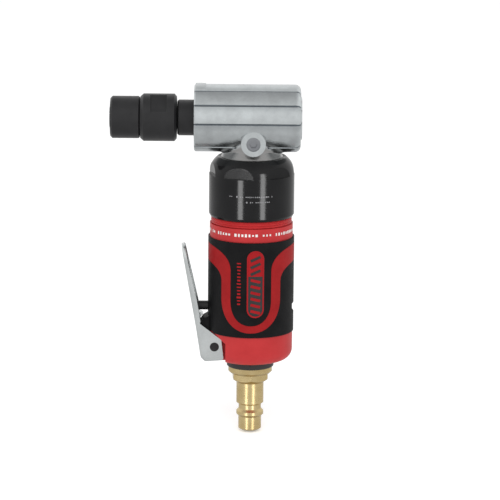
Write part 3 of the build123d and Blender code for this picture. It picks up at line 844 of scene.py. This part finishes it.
@dataclass
class Badge:
    """Raised pill frame on the grip, with slanted bars in place of lettering.

    Args:
        radius: Radius of the badge's face in millimetres.
        middle: Arc and height of its middle in millimetres.
        half_long: Half its height in millimetres.
        half_wide: Half its width in millimetres.
        rim: Width of the frame in millimetres.
        split: Height where the red part starts, in millimetres.
        sink: How deep frame and field reach below the face, in millimetres.
        frame_height: How far the frame stands proud, in millimetres.
        field_height: How far the red field stands proud, in millimetres.
        field_gap: How far the field stops short of the top of its outline.
        field_rows: Rows of faces up the red field.
        field_columns: Columns of faces across the red field.
    """

    radius: float = 18.97
    middle: Flat = (2.0, 69.7)
    half_long: float = 14.85
    half_wide: float = 3.75
    rim: float = 0.62
    split: float = 73.2
    sink: float = 0.1
    frame_height: float = 0.10
    field_height: float = 0.05
    field_gap: float = 0.05
    field_rows: int = 26
    field_columns: int = 8

    def build(self) -> None:
        """Make the frame, the red field and both sets of bars."""
        dress(frame["nodes"]["badge"], BLACK_PRINT)
        outer = self._pill(self.half_wide, self.half_long)
        inner = self._pill(self.half_wide - self.rim, self.half_long - self.rim)
        settle(self._frame(outer, inner), "tool")
        settle(self._field(), "tool")
        arc, level = self.middle
        Marks(
            "badge_black_bars", BLACK_PRINT, long=4.6, high=1.15, thick=0.34,
            radius=self.radius, along=arc, level=level + 8.3, rows=3, rise=3.0, lean=-24.0,
        ).build()
        Marks(
            "badge_red_bars", BADGE_RED, long=4.3, high=1.2, thick=0.2,
            radius=self.radius, along=arc, level=level - 5.4, rows=6, rise=2.75, lean=14.0,
        ).build()

    def _pill(self, half_wide: float, half_long: float, steps: int = 24) -> list[Flat]:
        """Outline of a pill.

        Args:
            half_wide: Half its width.
            half_long: Half its height.
            steps: Points on each rounded end.

        Returns:
            Points of arc and height.
        """
        arc, level = self.middle
        straight = half_long - half_wide
        points = []
        for side in (1, -1):
            for step in range(steps + 1):
                turn = math.pi * (step / steps) + (0.0 if side > 0 else math.pi)
                points.append((
                    arc + half_wide * math.cos(turn),
                    level + side * straight + half_wide * math.sin(turn),
                ))
        return points

    def _at(self, spot: Flat, height: float) -> Point:
        """Point on the grip, a height above the badge's face."""
        turn = spot[0] / self.radius
        reach = self.radius + height
        return (reach * math.sin(turn), -reach * math.cos(turn), spot[1])

    def _frame(self, outer: list[Flat], inner: list[Flat]) -> Piece:
        """Raised frame between two outlines.

        Args:
            outer: Outer outline.
            inner: Inner outline, point for point.

        Returns:
            The new piece.
        """
        low, high = -self.sink, self.frame_height
        rings = [
            [self._at(far, low), self._at(far, high), self._at(near, high), self._at(near, low)]
            for far, near in zip(outer, inner)
        ]
        return loft("badge_frame", rings, BADGE_RED, closed=True)

    def _field(self) -> Piece:
        """Red upper part of the badge, laid as rows that follow the pill's outline."""
        arc, level = self.middle
        half_wide = self.half_wide - self.rim
        centre = level + self.half_long - self.half_wide
        top = centre + half_wide - self.field_gap
        columns = self.field_columns
        rings = []
        for row in range(self.field_rows + 1):
            height = self.split + (top - self.split) * row / self.field_rows
            over = max(0.0, height - centre)
            half = math.sqrt(half_wide**2 - over**2)
            across = [arc - half + 2 * half * step / columns for step in range(columns + 1)]
            upper = [self._at((spot, height), self.field_height) for spot in across]
            lower = [self._at((spot, height), -self.sink) for spot in reversed(across)]
            rings.append(upper + lower)
        return loft("badge_field", rings, BADGE_RED)


# ---- metal pieces
@dataclass
class NeckBeads:
    """Two fine raised beads round the foot of the neck.

    Args:
        count: How many beads.
        radius: Radius of the lowest bead's centre line in millimetres.
        taper: How much smaller each next bead is in millimetres.
        rise: Distance between beads in millimetres.
        wire: Radius of a bead's section in millimetres.
        lowest: Height of the lowest bead in millimetres.
        steps: Points round a bead.
        facets: Points round its section.
    """

    count: int = 2
    radius: float = 13.45
    taper: float = 0.1
    rise: float = 0.62
    wire: float = 0.2
    lowest: float = 122.45
    steps: int = 128
    facets: int = 12

    def build(self) -> None:
        """Make the beads and let them ride on the tool."""
        recipe = Recipe(
            "neck_beads",
            {
                "Count": self.count, "Radius": self.radius * MM, "Taper": self.taper * MM,
                "Rise": self.rise * MM, "Wire": self.wire * MM, "Lowest": self.lowest * MM,
            },
        )
        maths, size = recipe.maths, recipe.size
        index = recipe.node("GeometryNodeInputIndex")
        height = maths.do("ADD", maths.do("MULTIPLY", index, size("Rise")), size("Lowest"))
        points = recipe.node(
            "GeometryNodePoints", Count=size("Count"), Position=recipe.vector(0.0, 0.0, height)
        )
        path = recipe.circle(self.steps, size("Radius"))
        section = recipe.circle(self.facets, size("Wire"))
        bead = recipe.node("GeometryNodeCurveToMesh", Curve=path, Profile_Curve=section)
        lost = maths.do("DIVIDE", maths.do("MULTIPLY", index, size("Taper")), size("Radius"))
        share = maths.do("SUBTRACT", 1.0, lost)
        beads = recipe.node(
            "GeometryNodeInstanceOnPoints", Points=points, Instance=bead,
            Scale=recipe.vector(share, share, 1.0),
        )
        piece = recipe.make(beads, HEAD_ALLOY)
        smooth(piece)
        settle(piece, "tool")


@dataclass
class ValveSpring:
    """Coil spring behind the throttle valve.

    Args:
        start: Where the coil starts along the valve's axis, in millimetres.
        long: Length of the coil's centre line in millimetres.
        fixed_end: Where the spring rests on the plug, in millimetres; not used.
        level: Height of the valve's axis in millimetres.
        radius: Coil radius in millimetres.
        wire: Wire radius in millimetres.
        turns: Number of turns.
        keep: Share of its length left with the valve open; not used.
        steps: Points on one turn.
        facets: Points round the wire.
    """

    start: float = 1.35
    long: float = 10.3
    fixed_end: float = 12.0
    level: float = 56.2
    radius: float = 2.6
    wire: float = 0.3
    turns: float = 6.0
    keep: float = 0.84
    steps: int = 40
    facets: int = 14

    def build(self) -> None:
        """Wind the spring and put it in the place of the plain one."""
        recipe = Recipe(
            "valve_spring_coil",
            {
                "Turns": self.turns, "Radius": self.radius * MM, "Length": self.long * MM,
                "Wire": self.wire * MM, "Start": self.start * MM, "Level": self.level * MM,
            },
        )
        size = recipe.size
        path = recipe.node(
            "GeometryNodeCurveSpiral", Resolution=self.steps, Rotations=size("Turns"),
            Start_Radius=size("Radius"), End_Radius=size("Radius"), Height=size("Length"),
        )
        section = recipe.circle(self.facets, size("Wire"))
        coil = recipe.node(
            "GeometryNodeCurveToMesh", Curve=path, Profile_Curve=section, Fill_Caps=True,
        )
        placed = recipe.node(
            "GeometryNodeTransform", Geometry=coil,
            Translation=recipe.vector(size("Start"), 0.0, size("Level")),
            Rotation=(0.0, math.pi / 2, 0.0),
        )
        piece = recipe.make(placed, SPRING_STEEL)
        smooth(piece)
        settle(piece, "tool")
        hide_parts("valve_spring")
        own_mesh(piece)


@dataclass
class Lever:
    """Pressed throttle lever, a channel that narrows towards its rounded tip.

    Args:
        half_wide: Half its width in millimetres.
        sheet: Thickness of the sheet in millimetres.
        bend: Outer radius of the folded corners in millimetres.
        back: Height and X of the outer face, in millimetres.
        front: Height and X of the flanges' free edge, in millimetres.
        levels: Heights of the sections below the tip, in millimetres.
        tip_start: Height where the rounded tip starts, in millimetres.
        tip_half: Half the width at which the rounded tip is cut off.
        flat: Least half of the flat back between the folded corners.
        spare: Least difference between two radii, or of a flange over its corner.
        rim: Rounding of the sheared edges in millimetres.
        sharpest: Angle in degrees above which an edge stays sharp.
        tab: X and height of the tab's outline, in millimetres.
        tab_half: Half the tab's width, before and after its rounded ends.
    """

    half_wide: float = 6.78
    sheet: float = 1.15
    bend: float = 1.5
    back: tuple[Flat, ...] = ((32.4, -20.3), (33.9, -21.85), (48.0, -24.1), (84.2, -30.6))
    front: tuple[Flat, ...] = (
        (32.4, -18.2), (32.9, -12.3), (33.7, -11.7), (42.1, -12.7), (48.4, -21.1),
        (49.3, -22.2), (50.2, -21.9), (58.0, -23.2), (84.2, -29.3),
    )
    levels: tuple[float, ...] = (
        32.4, 32.65, 32.9, 33.3, 33.7, 34.5, 36.0, 38.0, 40.0, 41.4, 42.1, 43.0, 44.5,
        46.0, 47.4, 48.4, 49.3, 50.2, 52.0, 54.0, 58.0, 62.0, 66.0, 70.0, 74.0,
    )
    tip_start: float = 77.4
    tip_half: float = 1.6
    flat: float = 0.3
    spare: float = 0.05
    rim: float = 0.18
    sharpest: float = 50.0
    tab: tuple[Flat, ...] = (
        (-24.5, 51.8), (-22.2, 51.7), (-21.4, 52.0), (-21.0, 52.6), (-21.4, 53.15),
        (-22.0, 53.4), (-24.7, 53.4),
    )
    tab_half: Flat = (2.2, 2.4)

    def build(self) -> None:
        """Make the channel and the small tab on it, in place of the plain lever."""
        rounds = [math.radians(turn) for turn in range(0, 77, 8)]
        tip = [self.tip_start + self.half_wide * math.sin(turn) for turn in rounds]
        rings = [self._section(height) for height in (*self.levels, *tip)]
        piece = loft("lever_channel", rings, LEVER_STEEL)
        rim = piece.modifiers.new("rim", "BEVEL")
        rim.width = self.rim * MM
        rim.segments = 2
        rim.limit_method = "ANGLE"
        rim.angle_limit = math.radians(self.sharpest)
        smooth(piece, self.sharpest)
        settle(piece, "lever")
        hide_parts("throttle_lever")
        settle(self._tab(), "lever")

    @staticmethod
    def _read(curve: tuple[Flat, ...], height: float) -> float:
        """Read a broken line at a height."""
        for (low, x_low), (high, x_high) in zip(curve, curve[1:]):
            if height <= high:
                return x_low + (x_high - x_low) * (height - low) / (high - low)
        return curve[-1][1]

    def _section(self, height: float) -> list[Point]:
        """Channel section at one height.

        Args:
            height: Height in millimetres.

        Returns:
            Ring of points, once round the sheet.
        """
        over = max(0.0, height - self.tip_start)
        half = math.sqrt(max(self.half_wide**2 - over**2, self.tip_half**2))
        back = self._read(self.back, height)
        deep = max(self._read(self.front, height) - back, self.bend + self.spare)
        bend = min(self.bend, half - self.flat)
        sheet = min(self.sheet, bend - self.spare)
        outer = self._half_channel(half, deep, bend, 0.0)
        inner = self._half_channel(half, deep, bend, sheet)
        ring = outer + [(x, -y) for x, y in reversed(outer)]
        ring += [(x, -y) for x, y in inner] + list(reversed(inner))
        return [(back + x, y, height) for x, y in ring]

    @staticmethod
    def _half_channel(half: float, deep: float, bend: float, inset: float) -> list[Flat]:
        """Points from one flange's edge to the middle of the back.

        Args:
            half: Half the width.
            deep: Depth of the flange.
            bend: Outer radius of the corner.
            inset: How far inside the outer face the points lie.

        Returns:
            Points of depth and width.
        """
        radius = bend - inset
        corner = [
            (bend - radius * math.sin(turn), -(half - bend) - radius * math.cos(turn))
            for turn in (math.radians(15.0 * step) for step in range(7))
        ]
        return [(deep, -(half - inset))] + corner + [(inset, -(half - bend) * 0.4)]

    def _tab(self) -> Piece:
        """Small rounded tab just below the valve pin."""
        inner, outer = self.tab_half
        rings = [[(x, y, z) for x, z in self.tab] for y in (-outer, -inner, inner, outer)]
        piece = loft("lever_tab", rings, LEVER_STEEL)
        smooth(piece, self.sharpest)
        return piece


# ---- studio
@dataclass
class Studio:
    """Floor, lights and camera.

    Args:
        target: Point the camera looks at, in metres.
        distance: From the camera to the target.
        elevation: Camera height angle in degrees.
        roll: Camera roll in degrees.
        lens: Focal length on a 36 mm sensor.
        floor_z: Height of the floor.
        floor_size: Side of the floor.
        floor_glow: Light that the floor gives off, so that it meets the backdrop.
        strip_turn: How far the strips stand to either side, in degrees.
        strip_reach: Distance from the target to a strip.
        strip_drop: How far the strips' middle lies below the target.
        strip_size: Width and height of a strip.
        strip_power: Node that a pair of strips lights, and the watts of each.
        front_place: Where the front light stands.
        front_size: Width and height of the front light.
        front_power: Watts of the front light.
        sky: Place from straight down to straight up, and how bright the sky is there.
    """

    target: Point = (-0.0005, 0.0, 0.0811)
    distance: float = 1.3
    elevation: float = 11.8
    roll: float = 0.5
    lens: float = 213.4
    floor_z: float = -0.0006
    floor_size: float = 6.0
    floor_glow: float = 0.3
    strip_turn: float = 30.0
    strip_reach: float = 1.2
    strip_drop: float = 0.1
    strip_size: Flat = (0.27, 1.2)
    strip_power: tuple[tuple[str, float], ...] = (("clamp_nut", 11.0), ("air_plug", 2.5))
    front_place: Point = (0.0, -1.0, 1.1)
    front_size: Flat = (1.4, 0.8)
    front_power: float = 9.0
    sky: tuple[Flat, ...] = (
        (0.0, 0.5), (0.35, 0.66), (0.55, 0.86), (0.8, 0.88), (0.95, 0.6), (1.0, 0.5),
    )

    def build(self) -> None:
        """Make the floor, the lights and the camera."""
        self._floor()
        self._world()
        self._lights()
        self._camera()
        LOG.info("studio ready")

    def _floor(self) -> None:
        """Pale floor that fades into the backdrop and stays out of reflections."""
        mesh = bpy.data.meshes.new("floor")
        half = self.floor_size / 2
        corners = ((-half, -half), (half, -half), (half, half), (-half, half))
        mesh.from_pydata([(x, y, self.floor_z) for x, y in corners], [], [(0, 1, 2, 3)])
        floor = stand("floor", mesh)
        paint = Finish(
            "floor_paper", (0.93, 0.93, 0.93), (0.91, 0.91, 0.91), roughness=0.85, spread=0.03,
            grain=Grain.BLASTED, pitch=2.0, depth=0.02, drift=300.0,
        )
        dress(floor, paint)
        glow = paint.material().node_tree.nodes["Principled BSDF"]
        glow.inputs["Emission Color"].default_value = (1.0, 1.0, 1.0, 1.0)
        glow.inputs["Emission Strength"].default_value = self.floor_glow
        floor.visible_glossy = False
        floor.visible_shadow = False

    def _world(self) -> None:
        """Soft surroundings, palest ahead and dimmer overhead and underneath."""
        world = bpy.data.worlds.new("studio")
        bpy.context.scene.world = world
        world.use_nodes = True
        tree = world.node_tree
        background = tree.nodes["Background"]
        maths = Maths(tree)
        direction = tree.nodes.new("ShaderNodeTexCoord").outputs["Generated"]
        height = maths.split(direction)[2]
        ramp = tree.nodes.new("ShaderNodeValToRGB").color_ramp
        node = tree.nodes[-1]
        share = maths.do("MULTIPLY_ADD", height, 0.5)
        share.node.inputs[2].default_value = 0.5
        tree.links.new(share, node.inputs["Fac"])
        while len(ramp.elements) < len(self.sky):
            ramp.elements.new(0.5)
        for element, (place, level) in zip(ramp.elements, self.sky):
            element.position = place
            element.color = (level, level, level, 1.0)
        seen = tree.nodes.new("ShaderNodeLightPath").outputs["Is Camera Ray"]
        tint = maths.blend(seen, node.outputs["Color"], (1.0, 1.0, 1.0))
        tree.links.new(tint, background.inputs["Color"])
        bpy.context.scene.view_settings.view_transform = "Standard"

    def _area(self, name: str, place: Point, size: Flat, power: float) -> Piece:
        """Add a soft rectangular light aimed at the target.

        Args:
            name: Light name.
            place: Where it stands.
            size: Width and height.
            power: Watts.

        Returns:
            The light's object.
        """
        lamp = bpy.data.lights.new(name, "AREA")
        lamp.shape = "RECTANGLE"
        lamp.size, lamp.size_y = size
        lamp.energy = power
        light = stand(name, lamp)
        light.location = place
        aim = Vector(self.target) - Vector(place)
        light.rotation_euler = aim.to_track_quat("-Z", "Y").to_euler()
        return light

    def _lights(self) -> None:
        """Upright strips that show in the glossy pieces alone, and a wide soft front light."""
        turn = math.radians(self.strip_turn)
        for node, power in self.strip_power:
            lit = bpy.data.collections.new("lit_" + node)
            lit.objects.link(frame["nodes"][node])
            for side, name in ((-1, "strip_left_"), (1, "strip_right_")):
                place = (
                    side * self.strip_reach * math.sin(turn),
                    -self.strip_reach * math.cos(turn),
                    self.target[2] - self.strip_drop,
                )
                strip = self._area(name + node, place, self.strip_size, power)
                strip.visible_diffuse = False
                strip.light_linking.receiver_collection = lit
        front = self._area("front", self.front_place, self.front_size, self.front_power)
        front.visible_glossy = False

    def _camera(self) -> None:
        """Camera at the viewing angle."""
        lens = bpy.data.cameras.new("camera")
        lens.lens = self.lens
        lens.sensor_width = 36.0
        lens.clip_start = 0.01
        camera = stand("camera", lens)
        tilt = math.radians(self.elevation)
        offset = Vector((0.0, -math.cos(tilt), math.sin(tilt))) * self.distance
        camera.location = Vector(self.target) + offset
        look = (-offset).to_track_quat("-Z", "Y").to_matrix()
        roll = Matrix.Rotation(math.radians(self.roll), 3, "Z")
        camera.rotation_euler = (look @ roll).to_euler()
        bpy.context.scene.camera = camera


def main() -> None:
    """Build and dress every sub-assembly in order."""
    logging.basicConfig(level=logging.INFO, format="%(name)s: %(message)s")
    CadDress().build()
    Badge().build()
    for marks in PRINT:
        marks.build()
    NeckBeads().build()
    ValveSpring().build()
    Lever().build()
    Studio().build()


if __name__ == "__main__":
    main()
